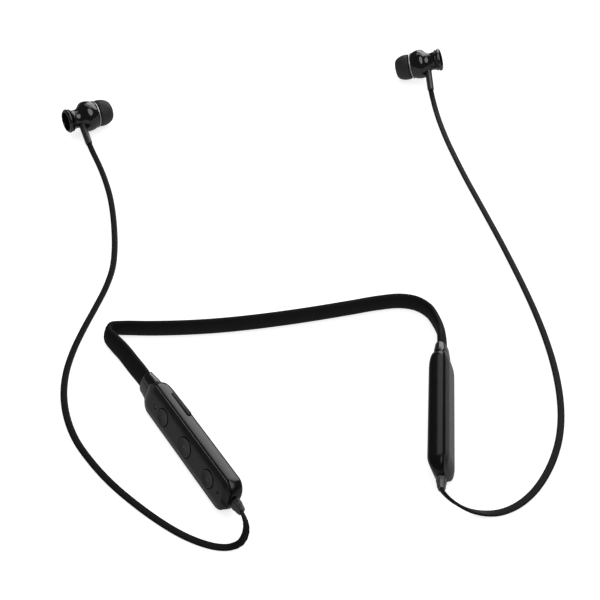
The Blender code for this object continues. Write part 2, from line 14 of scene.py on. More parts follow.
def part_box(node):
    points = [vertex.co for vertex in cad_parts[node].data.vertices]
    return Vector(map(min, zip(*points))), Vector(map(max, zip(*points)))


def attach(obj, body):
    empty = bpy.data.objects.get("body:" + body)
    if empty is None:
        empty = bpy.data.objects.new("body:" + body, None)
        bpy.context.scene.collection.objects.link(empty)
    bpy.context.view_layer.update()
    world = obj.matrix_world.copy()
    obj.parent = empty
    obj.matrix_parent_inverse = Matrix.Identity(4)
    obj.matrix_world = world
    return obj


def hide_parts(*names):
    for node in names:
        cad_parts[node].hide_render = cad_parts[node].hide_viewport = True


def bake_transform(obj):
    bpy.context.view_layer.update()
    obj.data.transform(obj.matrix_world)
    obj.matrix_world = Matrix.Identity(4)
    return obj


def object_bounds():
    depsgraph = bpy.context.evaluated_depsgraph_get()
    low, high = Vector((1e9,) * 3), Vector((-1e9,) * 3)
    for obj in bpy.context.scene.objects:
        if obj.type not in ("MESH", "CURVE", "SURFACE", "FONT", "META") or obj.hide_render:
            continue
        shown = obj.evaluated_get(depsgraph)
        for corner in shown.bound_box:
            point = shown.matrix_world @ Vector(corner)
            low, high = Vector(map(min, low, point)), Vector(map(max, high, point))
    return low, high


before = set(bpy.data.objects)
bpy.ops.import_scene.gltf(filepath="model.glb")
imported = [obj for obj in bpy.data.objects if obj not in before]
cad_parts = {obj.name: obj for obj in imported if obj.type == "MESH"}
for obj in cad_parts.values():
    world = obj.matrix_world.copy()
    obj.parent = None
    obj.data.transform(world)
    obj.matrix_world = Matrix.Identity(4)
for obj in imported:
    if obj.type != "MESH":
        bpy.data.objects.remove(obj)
CAD_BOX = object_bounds()

MM = 0.001
GAP = 0.3

# Camera and studio. Glow is the light a backdrop gives off by itself, tone the grey of its paper.
CAMERA_AT = (-40.8, -303.5, 320.8)
CAMERA_AIM = (14.9, 12.4, 0.0)
CAMERA_ANGLE = 30.0
FLOOR_REACH, FLOOR_GLOW, REFLECTED_GLOW = 2500.0, 0.78, 0.27
WALL_RADIUS, WALL_TOP, WALL_GLOW = 2400.0, 2200.0, 0.95
SEEN_TONE, REFLECTED_TONE = 0.8, 0.08
WORLD_STRENGTH = 0.07

# Modules, as in the CAD: length along local X, width along Y, thickness along Z, outer face up.
MODULE_END, HALF_WIDTH, HALF_THICK, MODULE_HEIGHT = 28.5, 6.2, 3.6, 6.7
CORNER = 5.2
WALL = 1.0
SPLIT = 2.3  # height of the seam between the two shells
FRONT_RIM, REAR_RIM = SPLIT + 0.15, SPLIT - 0.3  # the drawn seam is an open groove
MODULES = {
    "left": {
        "shells": ("left_front_shell", "left_rear_shell"),
        "centre": (-35.9, -58.6), "lean": 23.2, "roll": 23.0, "outward": -1, "neck": -30.3, "collar": 4.8,
    },
    "right": {
        "shells": ("right_outer_shell", "right_inner_shell"),
        "centre": (54.0, -59.9), "lean": 15.4, "roll": 20.0, "outward": 1, "neck": -27.9, "collar": 3.3,
    },
}
FACE_SLOPE = 13.5  # slope of the crowned face at its edge
CROWN, CROWN_RUN, CROWN_STEPS = 3.4, 1.3, 14  # the face's margin, and how far it takes to reach that slope
FACE_EDGE, BACK_ROUND = 0.42, 2.0  # radii between the face, the sides and the back
BACK_REACH = 2.6  # where the flat of the back begins, inside the outline
SIDE_CROWN, WIDEST_AT, SIDE_REACH = 0.22, 0.1, 1.9  # the sides' bulge, its height, and how far up it goes
GROW = 0.25  # how far the drawn casing stands proud of the solid at its sides and ends
# How a casing thins towards its collar and its gland: lengths, with the share of thickness left at the end.
BACK_TAPERS = {"left": ((9.0, 0.62), (5.5, 0.84)), "right": ((10.0, 0.56), (6.5, 0.5))}
FACE_TAPERS = {"left": ((5.0, 0.85), (3.0, 0.97)), "right": ((8.5, 0.62), (8.0, 0.48))}
# Thickness of the drawn casing, of its back and of its face, over the solid's.
FULLNESS = {"left": (1.05, 1.0), "right": (1.05, 1.05)}
HOOD = 2.0  # how far the collar reaches over the casing's rounded end
COLLAR_BORE, COLLAR_SLEEVE = (2.15, 0.9), (2.75, 1.7)  # half sizes of its bore and of the neck round it

# Buttons and charging port, in the left module's axes.
BUTTON_RADII = {"volume_up_button": 3.2, "play_button": 3.7, "volume_down_button": 3.2}
BUTTON_TOP = 3.75
SWITCH_ROW = -2.1
MICROPHONE_X, MICROPHONE_HOLE = 23.2, 0.45
LIGHT_X, LIGHT_RADIUS = -21.6, 0.6
PORT_X, PORT_Z = -14.5, -1.65
PORT_MOUTH = (7.2, 1.75)
COVER_LENGTH, COVER_WIDTH, COVER_THICK = 12.4, 1.95, 1.0

# Neckband section and what runs inside it.
BAND_HEIGHT, BAND_THICKNESS, BAND_FOOT, BAND_SPACING = 7.4, 3.4, 1.2, 0.9
JACKET_INSET, WIRE_INSET = 1.3, 3.5
CHANNEL_HEIGHT, CHANNEL_WIDTH = 4.6, 1.8
WIRE_RADIUS, WIRE_OFFSET = 0.55, 1.25
BAND_ROUTE = [
    (-50.4, -24.0, 6.6, 29),
    (-53.8, -16.0, 5.7, 31),
    (-57.3, -7.8, 4.8, 29),
    (-60.6, -1.4, 4.15, 24),
    (-62.4, 2.6, 3.87, 16),
    (-61.0, 5.9, 3.77, 8),
    (-56.6, 5.6, 3.71, 2),
    (-46.0, 3.6, 3.7, 0),
    (-33.0, 1.7, 3.7, 0),
    (-20.0, 0.5, 3.7, 0),
    (-7.0, 0.0, 3.7, 0),
    (7.0, 0.0, 3.7, 0),
    (20.0, 0.4, 3.7, 0),
    (33.0, 1.1, 3.7, 0),
    (45.0, 1.8, 3.7, 0),
    (54.0, 1.3, 3.7, 0),
    (60.0, -1.4, 3.7, 0),
    (63.6, -6.2, 3.74, 0),
    (64.8, -12.6, 4.15, 3),
    (64.7, -19.4, 5.4, 9),
    (63.7, -24.4, 6.6, 17),
]

# Leads: x, y, height and turn of the flat side, as in the CAD.
LEAD_WIDTH, LEAD_THICKNESS, LEAD_SPACING = 2.6, 1.1, 1.6
GLAND_LENGTH = 4.6
LEAD_TURN_AT_GLAND = {"left": 20, "right": 5}
LEAD_ROUTES = {
    "left": [
        (-22.0, -92.7, 6.0, 35),
        (-22.3, -95.4, 3.9, 55),
        (-24.4, -97.8, 1.9, 75),
        (-28.0, -98.3, 0.85, 88),
        (-32.0, -97.5, 0.6, 90),
        (-36.9, -95.2, 0.6, 90),
        (-42.8, -91.1, 0.6, 90),
        (-49.7, -84.7, 0.6, 90),
        (-57.9, -75.5, 0.6, 90),
        (-65.6, -65.4, 0.6, 90),
        (-72.0, -54.8, 0.6, 90),
        (-77.0, -44.0, 0.6, 90),
        (-79.8, -33.0, 0.6, 90),
        (-80.6, -22.0, 0.6, 90),
        (-79.4, -11.0, 0.6, 90),
        (-76.3, 0.0, 0.6, 90),
        (-71.9, 10.9, 0.6, 90),
        (-66.9, 21.8, 0.6, 90),
        (-62.3, 32.4, 0.6, 90),
        (-58.9, 43.4, 0.6, 90),
        (-57.3, 55.0, 0.6, 90),
        (-56.7, 67.0, 0.6, 90),
        (-56.7, 80.0, 0.6, 90),
        (-57.4, 92.0, 0.6, 90),
        (-59.0, 104.0, 0.6, 90),
        (-61.0, 114.5, 0.6, 90),
        (-62.8, 122.2, 0.63, 90),
        (-63.9, 126.7, 0.98, 90),
    ],
    "right": [
        (45.7, -93.6, 6.6, 12),
        (47.2, -95.6, 5.7, 24),
        (50.0, -97.6, 4.1, 38),
        (54.0, -99.3, 2.2, 54),
        (58.9, -100.4, 1.05, 74),
        (64.1, -100.6, 0.62, 88),
        (70.2, -99.1, 0.6, 90),
        (76.8, -95.4, 0.6, 90),
        (83.1, -89.8, 0.6, 90),
        (89.1, -82.5, 0.6, 90),
        (94.2, -74.2, 0.6, 90),
        (98.1, -65.3, 0.6, 90),
        (101.0, -56.0, 0.6, 90),
        (103.2, -46.0, 0.6, 90),
        (104.7, -36.0, 0.6, 90),
        (105.7, -25.0, 0.6, 90),
        (106.2, -14.0, 0.6, 90),
        (106.3, -3.0, 0.6, 90),
        (106.1, 9.0, 0.6, 90),
        (105.7, 21.0, 0.6, 90),
        (105.1, 34.0, 0.6, 90),
        (104.3, 47.0, 0.6, 90),
        (103.4, 61.0, 0.6, 90),
        (102.5, 75.0, 0.6, 90),
        (101.9, 90.0, 0.6, 90),
        (101.6, 105.0, 0.6, 90),
        (102.0, 120.0, 0.6, 90),
        (102.8, 131.0, 0.6, 90),
        (103.5, 137.4, 0.64, 90),
        (103.85, 141.3, 0.98, 90),
    ],
}

# Earbuds, as in the CAD: distances along the axis from the back cap's rim.
RING_AT, STEM_AT, STEM_LENGTH, STEM_ROOT, STEM_RADIUS = 15.0, 7.2, 14.6, 4.4, 1.65
BUDS = {
    "left": {"heading": 24.0, "dip": 7.0, "stem_to": (-65.4, 129.2, 2.0), "lean": 7.5},
    "right": {"heading": 164.0, "dip": 19.0, "stem_to": (104.4, 144.2, 2.2), "lean": 0.5},
}
TURN_STEPS, CORNER_STEPS = 96, 12


# ------------------------------------------------------------------------------------ frames


def middle_of(node):
    """Centre of the box round a CAD node, in millimetres."""
    low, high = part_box(node)
    return (Vector(low) + Vector(high)) / (2 * MM)


def axes(origin, x_axis, z_axis):
    """Matrix of a local frame with its origin in millimetres."""
    x, z = Vector(x_axis).normalized(), Vector(z_axis).normalized()
    y = z.cross(x).normalized()
    x = y.cross(z)
    return Matrix.Translation(origin) @ Matrix((x, y, z)).transposed().to_4x4()


def module_axes(side):
    """The module's frame: X towards the lead, Y across and Z out of the outer face."""
    layout = MODULES[side]
    lean, roll, outward = math.radians(layout["lean"]), math.radians(layout["roll"]), layout["outward"]
    along = Vector((-outward * math.sin(lean), -math.cos(lean), 0))
    sideways = Vector((outward * math.cos(lean), -math.sin(lean), 0))
    face = math.cos(roll) * sideways + math.sin(roll) * Vector((0, 0, 1))
    return axes((*layout["centre"], MODULE_HEIGHT), along, face)


def bud_axes(side):
    """The bud's frame: Z towards the tip, and X square to that on the stem's side."""
    layout = BUDS[side]
    heading, dip = math.radians(layout["heading"]), math.radians(layout["dip"])
    axis = Vector((math.cos(heading) * math.cos(dip), math.sin(heading) * math.cos(dip), -math.sin(dip)))
    ring = middle_of(f"{side}_trim_ring")
    root = ring - axis * (RING_AT - STEM_AT)
    aim = (Vector(layout["stem_to"]) - root).normalized()
    square = (aim - aim.dot(axis) * axis).normalized()
    return axes(ring - axis * RING_AT, square, axis)


MODULE_AXES = {side: module_axes(side) for side in MODULES}
BUD_AXES = {side: bud_axes(side) for side in BUDS}
# Which way each stem points, in its bud's frame.
STEM_WAY = {
    side: Vector((math.cos(math.radians(bud["lean"])), 0, -math.sin(math.radians(bud["lean"]))))
    for side, bud in BUDS.items()
}


# --------------------------------------------------------------------------------- materials


class Nodes:
    """Short names for building one material's node tree."""

    def __init__(self, name):
        self.material = bpy.data.materials.new(name)
        self.material.use_nodes = True
        self.tree = self.material.node_tree
        self.shader = self.tree.nodes["Principled BSDF"]
        self.point = self.add("ShaderNodeTexCoord").outputs["Object"]

    def add(self, kind, **values):
        node = self.tree.nodes.new(kind)
        for key, value in values.items():
            if key in node.inputs:
                node.inputs[key].default_value = value
            else:
                setattr(node, key, value)
        return node

    def join(self, source, node, socket):
        self.tree.links.new(source, node.inputs[socket])
        return node

    def noise(self, scale, detail=3.0, rough=0.55, stretch=None):
        node = self.add("ShaderNodeTexNoise", Scale=scale, Detail=detail, Roughness=rough)
        source = self.point
        if stretch:
            mapping = self.add("ShaderNodeMapping", Scale=stretch)
            source = self.join(source, mapping, "Vector").outputs["Vector"]
        return self.join(source, node, "Vector").outputs["Fac"]

    def spread(self, value, low, high, start=0.35, end=0.65):
        node = self.add("ShaderNodeMapRange")
        node.inputs["From Min"].default_value = start
        node.inputs["From Max"].default_value = end
        node.inputs["To Min"].default_value = low
        node.inputs["To Max"].default_value = high
        return self.join(value, node, "Value").outputs["Result"]

    def colours(self, value, *stops):
        node = self.add("ShaderNodeValToRGB")
        ramp = node.color_ramp
        while len(ramp.elements) < len(stops):
            ramp.elements.new(0.5)
        for element, (place, colour) in zip(ramp.elements, stops):
            element.position = place
            element.color = (*colour, 1.0)
        self.join(value, node, "Fac")
        self.join(node.outputs["Color"], self.shader, "Base Color")

    def bump(self, value, strength, distance, under=None):
        node = self.add("ShaderNodeBump", Strength=strength, Distance=distance)
        self.join(value, node, "Height")
        if under:
            self.join(under, node, "Normal")
        self.join(node.outputs["Normal"], self.shader, "Normal")
        return node.outputs["Normal"]

    def set(self, **values):
        for key, value in values.items():
            self.shader.inputs[key.replace("_", " ")].default_value = value


def shade(colour, factor):
    return tuple(min(1.0, channel * factor) for channel in colour)


def moulded(name, colour, roughness, grain_scale=2600, grain=0.1, wave=0.0, **values):
    """Moulded plastic or silicone: cloudy colour, fine grain and a slightly uneven gloss."""
    nodes = Nodes(name)
    cloud = nodes.noise(120, 4)
    nodes.colours(cloud, (0.3, shade(colour, 0.85)), (0.7, shade(colour, 1.15)))
    smear = nodes.noise(420, 5, 0.65)
    nodes.join(nodes.spread(smear, *roughness), nodes.shader, "Roughness")
    normal = nodes.bump(nodes.noise(grain_scale, 2), grain, 0.00004)
    if wave:
        nodes.bump(nodes.noise(170, 1), wave, 0.0002, normal)
    nodes.set(**values)
    return nodes.material


def metal(name, colour, roughness, stretch, scale=300, strength=0.25, **values):
    """Drawn or brushed metal, its grain stretched along one axis."""
    nodes = Nodes(name)
    lines = nodes.noise(scale, 4, 0.7, stretch)
    nodes.colours(lines, (0.3, shade(colour, 0.8)), (0.7, shade(colour, 1.1)))
    nodes.join(nodes.spread(lines, *roughness), nodes.shader, "Roughness")
    nodes.bump(lines, strength, 0.00002)
    nodes.set(Metallic=1.0, **values)
    return nodes.material


def circuit_board():
    """Green solder mask, paler over the copper tracks."""
    nodes = Nodes("circuit_board")
    cells = nodes.add("ShaderNodeTexVoronoi", Scale=520.0, distance="CHEBYCHEV")
    cells.feature = "DISTANCE_TO_EDGE"
    nodes.join(nodes.point, cells, "Vector")
    tracks = cells.outputs["Distance"]
    nodes.colours(tracks, (0.04, (0.05, 0.24, 0.09)), (0.07, (0.008, 0.09, 0.03)))
    nodes.join(nodes.spread(nodes.noise(900), 0.28, 0.45), nodes.shader, "Roughness")
    nodes.bump(tracks, 0.4, 0.00003)
    nodes.set(Coat_Weight=0.3, Coat_Roughness=0.15)
    return nodes.material


def perforated(name, colour, holes):
    """Fine metal mesh: a bright sheet whose round openings are painted near-black, as painted shade for the
    space behind them.
    """
    nodes = Nodes(name)
    cells = nodes.add("ShaderNodeTexVoronoi", Scale=holes, Randomness=0.0)
    nodes.join(nodes.point, cells, "Vector")
    distance = cells.outputs["Distance"]
    # The openings are dark dots in the colour, painted shade rather than real holes.
    nodes.colours(distance, (0.3, (0.01, 0.01, 0.01)), (0.4, colour))
    nodes.join(nodes.spread(distance, 0.8, 0.3, 0.3, 0.4), nodes.shader, "Roughness")
    nodes.bump(distance, 0.6, 0.0001)
    nodes.set(Metallic=1.0)
    return nodes.material


def foil():
    """Battery pouch: crinkled laminated foil."""
    nodes = Nodes("pouch_foil")
    crease = nodes.noise(260, 6, 0.7)
    nodes.colours(crease, (0.3, (0.5, 0.51, 0.53)), (0.7, (0.7, 0.71, 0.73)))
    nodes.join(nodes.spread(crease, 0.25, 0.5), nodes.shader, "Roughness")
    nodes.bump(crease, 0.7, 0.0003)
    nodes.set(Metallic=0.85)
    return nodes.material


def paper(name, glow, tone):
    """White studio paper, lit from within by an even glow."""
    nodes = Nodes(name)
    pulp = nodes.noise(60, 6, 0.6)
    nodes.colours(pulp, (0.2, (tone * 0.975,) * 3), (0.8, (tone * 1.025,) * 3))
    nodes.bump(nodes.noise(900, 3), 0.05, 0.0001)
    nodes.set(Roughness=0.85, Specular_IOR_Level=0.1)
    nodes.set(Emission_Color=(1, 1, 1, 1), Emission_Strength=glow)
    return nodes.material


# Casings and buttons are the same black plastic, each a little more or less polished.
GLOSS = moulded(
    "gloss_black", (0.004, 0.004, 0.0044), (0.08, 0.14), grain=0.03, wave=0.03, Specular_IOR_Level=1.0
)
FACE_GLOSS = moulded("face_gloss_black", (0.0035, 0.0035, 0.0038), (0.14, 0.2), grain=0.05, wave=0.02)
OUTER_GLOSS = moulded("outer_gloss_black", (0.0035, 0.0035, 0.0038), (0.16, 0.22), grain=0.05, wave=0.02)
CASE_GLOSS = moulded("case_gloss_black", (0.004, 0.004, 0.0044), (0.17, 0.24), grain=0.04, wave=0.03)
BUTTON_GLOSS = moulded("button_gloss_black", (0.004, 0.004, 0.0044), (0.14, 0.22), grain=0.05)
SATIN = moulded("satin_black", (0.026, 0.026, 0.0265), (0.26, 0.38), grain=0.2, Specular_IOR_Level=0.9)
# Painted shade: a near-black finish that reflects almost nothing, for the disc laid in each back cap's
# dish.
DISH_SHADE = moulded("dish_painted_shade", (0.002, 0.002, 0.0022), (0.5, 0.65), grain=0.2, IOR=1.02)
BAND = moulded("band_silicone", (0.0062, 0.0062, 0.0065), (0.62, 0.74), grain=0.35, Specular_IOR_Level=0.15)
COVER = moulded("cover_silicone", (0.007, 0.007, 0.0074), (0.5, 0.62), grain=0.3, Specular_IOR_Level=0.3)
TIP = moulded("tip_silicone", (0.024, 0.024, 0.025), (0.5, 0.62), grain=0.3, Specular_IOR_Level=0.35)
CORD = moulded(
    "lead_jacket", (0.005, 0.005, 0.0053), (0.5, 0.6), grain_scale=3800, grain=0.35, Specular_IOR_Level=0.18
)
PRINT = moulded("print_grey", (0.05, 0.05, 0.051), (0.35, 0.5), grain=0.2)
LIGHT_PIPE = moulded("light_pipe", (0.06, 0.06, 0.065), (0.15, 0.3), Transmission_Weight=0.4)
CHIP = moulded("chip_epoxy", (0.014, 0.014, 0.015), (0.45, 0.65), grain=0.6)
INSULATION = moulded("wire_insulation", (0.35, 0.015, 0.012), (0.35, 0.5), grain=0.15)
STEEL = metal("drawn_steel", (0.52, 0.52, 0.53), (0.25, 0.4), (1.0, 1.0, 12.0))
BRIGHT = metal("bright_ring", (0.82, 0.82, 0.83), (0.32, 0.42), (1.0, 1.0, 6.0), 500, 0.1)
GOLD = metal("gold_can", (0.72, 0.52, 0.2), (0.25, 0.4), (4.0, 1.0, 1.0))
BOARD = circuit_board()
MESH = perforated("nozzle_mesh", (0.55, 0.55, 0.56), 3200.0)
FOIL = foil()


# ----------------------------------------------------------------------------------- meshes


def piece(name, shape, place, finish, body, slot, *replaced, sharp=35):
    """A finished piece from a bmesh laid out in millimetres in a local frame."""
    bmesh.ops.recalc_face_normals(shape, faces=shape.faces)
    bmesh.ops.transform(shape, matrix=Matrix.Scale(MM, 4) @ place, verts=shape.verts)
    mesh = bpy.data.meshes.new(name)
    shape.to_mesh(mesh)
    shape.free()
    mesh.materials.append(finish)
    item = bpy.data.objects.new(name, mesh)
    bpy.context.scene.collection.objects.link(item)
    mesh.shade_smooth()
    mesh.set_sharp_from_angle(angle=math.radians(sharp))
    if body:
        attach(item, body)
    if replaced:
        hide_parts(*replaced)
    return item


def loft(shape, rings, closed=False, caps="fan"):
    """Skin a list of rings of points. Its ends are capped by fans, by one flat face or, where the second
    half of a ring mirrors the first, by strips."""
    rows = [[shape.verts.new(point) for point in ring] for ring in rings]
    pairs = list(zip(rows, rows[1:])) + ([(rows[-1], rows[0])] if closed else [])
    for low, high in pairs:
        for k in range(len(low)):
            n = (k + 1) % len(low)
            shape.faces.new((low[k], low[n], high[n], high[k]))
    if closed:
        return
    for row in (rows[0], rows[-1]):
        count = len(row)
        if caps == "flat":
            shape.faces.new(row)
        elif caps == "strip":
            for k in range(count // 2 - 1):
                shape.faces.new((row[k], row[k + 1], row[count - 2 - k], row[count - 1 - k]))
        else:
            middle = shape.verts.new(sum((v.co for v in row), Vector()) / count)
            for k in range(count):
                shape.faces.new((row[k], row[(k + 1) % count], middle))


def turned(shape, outline, closed=False):
    """Turn an outline of (radius, height) about local Z. Points on the axis become poles."""
    rows = []
    for radius, height in outline:
        if radius == 0:
            rows.append([shape.verts.new((0, 0, height))])
            continue
        angles = (2 * math.pi * k / TURN_STEPS for k in range(TURN_STEPS))
        rows.append([shape.verts.new((radius * math.cos(a), radius * math.sin(a), height)) for a in angles])
    pairs = list(zip(rows, rows[1:])) + ([(rows[-1], rows[0])] if closed else [])
    for low, high in pairs:
        for k in range(TURN_STEPS):
            n = (k + 1) % TURN_STEPS
            if len(low) == 1 and len(high) == 1:
                break
            if len(low) == 1:
                shape.faces.new((low[0], high[n], high[k]))
            elif len(high) == 1:
                shape.faces.new((low[k], low[n], high[0]))
            else:
                shape.faces.new((low[k], low[n], high[n], high[k]))


def arc(centre, radius, start, end, steps):
    """Points of an arc in a plane, from one angle to another."""
    points = []
    for step in range(steps + 1):
        angle = math.radians(start + (end - start) * step / steps)
        points.append((centre[0] + radius * math.cos(angle), centre[1] + radius * math.sin(angle)))
    return points


def ease(value):
    """A smooth step from 0 to 1."""
    value = max(0.0, min(1.0, value))
    return value * value * (3 - 2 * value)


def rounded_plan(half_x, half_y, corner, stations=()):
    """A rounded rectangle in plan, its second half the mirror of its first across local X."""
    middle_x, middle_y = half_x - corner, half_y - corner
    upper = arc((-middle_x, middle_y), corner, 180, 90, CORNER_STEPS)
    upper += [(x, half_y) for x in stations]
    upper += arc((middle_x, middle_y), corner, 90, 0, CORNER_STEPS)
    return upper + [(x, -y) for x, y in reversed(upper)]


def solid(shape, name):
    """A bmesh as a plain object, for a Boolean or for the studio."""
    bmesh.ops.recalc_face_normals(shape, faces=shape.faces)
    mesh = bpy.data.meshes.new(name)
    shape.to_mesh(mesh)
    shape.free()
    item = bpy.data.objects.new(name, mesh)
    bpy.context.scene.collection.objects.link(item)
    return item


def carved(shape, *steps):
    """The bmesh after Booleans with others, each step being (operation, bmesh)."""
    body = solid(shape, "carving")
    tools = []
    for operation, other in steps:
        tool = solid(other, "tool")
        tools.append(tool)
        change = body.modifiers.new(operation.lower(), "BOOLEAN")
        change.operation, change.object, change.solver = operation, tool, "EXACT"
    bpy.context.view_layer.update()
    seen = body.evaluated_get(bpy.context.evaluated_depsgraph_get())
    result = bmesh.new()
    result.from_mesh(seen.to_mesh())
    for item in (body, *tools):
        bpy.data.objects.remove(item, do_unlink=True)
    return result


def cylinder(start, end, radius, sides=64, flat=1.0):
    """A rod square to local Y; flat squashes it across local Z when it runs along X."""
    shape = bmesh.new()
    way, across = (Vector(end) - Vector(start)).normalized(), Vector((0, 1, 0))
    up = way.cross(across).normalized()
    rings = []
    for point in (Vector(start), Vector(end)):
        rings.append([
            point + radius * (math.cos(a) * across + flat * math.sin(a) * up)
            for a in (2 * math.pi * k / sides for k in range(sides))
        ])
    loft(shape, rings)
    return shape


def slab(half_x, half_y, corner, low, high, place=Matrix()):
    """A rounded block in plan, from one height to another."""
    shape = bmesh.new()
    plan = rounded_plan(half_x, half_y, corner)
    loft(shape, [[place @ Vector((x, y, z)) for x, y in plan] for z in (low, high)], caps="strip")
    return shape


# ------------------------------------------------------------------------------------ routes


def smooth_route(route, spacing):
    """Points of a smooth curve through the route, a given distance apart; w is the roll or turn."""
    knots = [Vector(point) for point in route]
    knots = [2 * knots[0] - knots[1], *knots, 2 * knots[-1] - knots[-2]]
    points = []
    for a, b, c, d in zip(knots, knots[1:], knots[2:], knots[3:]):
        t1 = (b.xyz - a.xyz).length ** 0.5
        t2 = t1 + (c.xyz - b.xyz).length ** 0.5
        t3 = t2 + (d.xyz - c.xyz).length ** 0.5
        steps = max(2, round((c.xyz - b.xyz).length / spacing))
        for step in range(steps):
            t = t1 + (t2 - t1) * step / steps
            ab, bc = a.lerp(b, t / t1), b.lerp(c, (t - t1) / (t2 - t1))
            cd = c.lerp(d, (t - t2) / (t3 - t2))
            abc, bcd = ab.lerp(bc, t / t2), bc.lerp(cd, (t - t1) / (t3 - t1))
            points.append(abc.lerp(bcd, (t - t1) / (t2 - t1)))
    return [*points, knots[-2]]


def sections(points, outline):
    """Rings of an outline (x across, y up) carried along a route, leaning outwards by its roll."""
    rings = []
    for before, here, after in zip([points[0], *points], points, [*points[1:], points[-1]]):
        way = (after.xyz - before.xyz).normalized()
        side = way.cross(Vector((0, 0, 1))).normalized()
        up = side.cross(way)
        roll = math.radians(here.w)
        out = -math.cos(roll) * side + math.sin(roll) * up
        high = math.cos(roll) * up + math.sin(roll) * side
        rings.append([here.xyz + x * out + y * high for x, y in outline])
    return rings


def oval(width, height, sides, foot=0.0, middle=0.0, power=2.0):
    """An oval outline, flattened to a foot along its lowest edge."""
    points = []
    for k in range(sides):
        angle = 2 * math.pi * (k + 0.5) / sides - math.pi / 2
        x = math.copysign(abs(math.cos(angle)) ** (2 / power), math.cos(angle)) * width / 2
        y = math.copysign(abs(math.sin(angle)) ** (2 / power), math.sin(angle)) * height / 2
        if foot and y < 0 and abs(x) < foot / 2:
            y = -height / 2
        points.append((x, y + middle))
    return points


# ------------------------------------------------------------------------------ stage and light


def backdrop(name, shape, glow, level, reflected=False):
    """Part of the studio, either seen by the camera or only reflected. Only the floor takes shadows."""
    item = solid(shape, name)
    item.scale = (MM, MM, MM)
    item.location.z = level
    item.visible_camera = not reflected
    item.visible_glossy = reflected
    item.visible_diffuse = name == "floor"
    item.visible_shadow = name == "floor"
    item.data.materials.append(paper(f"{name}_paper", glow, REFLECTED_TONE if reflected else SEEN_TONE))


def stage():
    """The camera, the pale floor and wall that it sees, and a dimmer floor that only reflections see."""
    scene = bpy.context.scene
    scene.view_settings.view_transform = "Standard"
    camera_data = bpy.data.cameras.new("camera")
    camera_data.angle = math.radians(CAMERA_ANGLE)
    camera_data.clip_start = 0.01
    camera = bpy.data.objects.new("camera", camera_data)
    scene.collection.objects.link(camera)
    camera.location = Vector(CAMERA_AT) * MM
    look = Vector(CAMERA_AIM) - Vector(CAMERA_AT)
    camera.rotation_euler = look.to_track_quat("-Z", "Y").to_euler()
    scene.camera = camera

    level = CAD_BOX[0].z - 0.00005
    for name, glow, depth in (("floor", FLOOR_GLOW, 0.0), ("reflected_floor", REFLECTED_GLOW, 0.0005)):
        shape = bmesh.new()
        bmesh.ops.create_grid(shape, x_segments=1, y_segments=1, size=FLOOR_REACH)
        backdrop(name, shape, glow, level - depth, reflected=name == "reflected_floor")
    shape = bmesh.new()
    turned(shape, [(WALL_RADIUS, -50.0), (WALL_RADIUS, WALL_TOP)])
    backdrop("wall", shape, WALL_GLOW, level)

    world = bpy.data.worlds.new("studio")
    world.use_nodes = True
    background = world.node_tree.nodes["Background"]
    background.inputs["Color"].default_value = (1.0, 1.0, 1.0, 1.0)
    background.inputs["Strength"].default_value = WORLD_STRENGTH
    scene.world = world


def lamp(name, kind, at, aim, size, power, size_y=None, glossy=True, diffuse=True):
    """A soft area light; places are in millimetres and it is never seen by the camera."""
    data = bpy.data.lights.new(name, "AREA")
    data.shape = kind
    data.size = size * MM
    if size_y:
        data.size_y = size_y * MM
    data.energy = power
    item = bpy.data.objects.new(name, data)
    item.location = Vector(at) * MM
    item.rotation_euler = (Vector(aim) - Vector(at)).to_track_quat("-Z", "Y").to_euler()
    item.visible_camera = False
    item.visible_glossy = glossy
    item.visible_diffuse = diffuse
    bpy.context.scene.collection.objects.link(item)


def lights():
    """A sky that gives no reflections, two softboxes behind, and an octabox seen only in reflections."""
    lamp("sky_panel", "SQUARE", (0, 0, 1500), (0, 0, 0), 2600, 16, glossy=False)
    lamp("back_softbox", "RECTANGLE", (747, 1195, 500), (0, 0, 0), 1500, 10, 1000)
    lamp("high_softbox", "RECTANGLE", (300, 950, 1130), (0, 0, 0), 1400, 2.2, 560)
    lamp("octabox", "DISK", (420, -190, 850), (0, 140, 10), 1000, 4.4, diffuse=False)


# -------------------------------------------------------------------------------------- leads


def lead(side):
    """Flat lead, lying where its CAD solid lies."""
    start = MODULE_AXES[side] @ Vector((MODULE_END + GLAND_LENGTH + GAP, 0, 0))
    root = BUD_AXES[side] @ Vector((0, 0, STEM_AT))
    way = BUD_AXES[side].to_3x3() @ STEM_WAY[side]
    end = root + way * (STEM_LENGTH + GAP)
    knots = [(*start, LEAD_TURN_AT_GLAND[side]), *LEAD_ROUTES[side], (*end, 90)]
    points = smooth_route(knots, LEAD_SPACING)
    curve = bpy.data.curves.new(f"{side}_lead_cord", "CURVE")
    curve.dimensions = "3D"
    curve.twist_mode = "Z_UP"
    curve.bevel_mode = "ROUND"
    curve.bevel_depth = LEAD_THICKNESS / 2 * MM
    curve.bevel_resolution = 4
    curve.extrude = (LEAD_WIDTH - LEAD_THICKNESS) / 2 * MM
    curve.use_fill_caps = True
    spline = curve.splines.new("POLY")
    spline.points.add(len(points) - 1)
    for knot, point in zip(spline.points, points):
        knot.co = (*(point.xyz * MM), 1.0)
        knot.tilt = math.radians(point.w)
    spline.use_smooth = True
    curve.materials.append(CORD)
    item = bpy.data.objects.new(f"{side}_lead_cord", curve)
    bpy.context.scene.collection.objects.link(item)
    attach(item, f"{side}_arm")
    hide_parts(f"{side}_lead")


# ------------------------------------------------------------------------------------ modules


def shaped(x, y, z, half, middle, side):
    """A casing's point in the module's frame, thinned towards the two ends."""
    tapers = (BACK_TAPERS if z < 0 else FACE_TAPERS)[side]
    for (length, share), distance in zip(tapers, (x + half, half - x)):
        part = max(0.0, min(1.0, distance / length))
        z *= share + (1 - share) * math.sin(math.pi / 2 * part)
    back, face = FULLNESS[side]
    return Vector((x + middle, y, z * (face if z > 0 else back)))


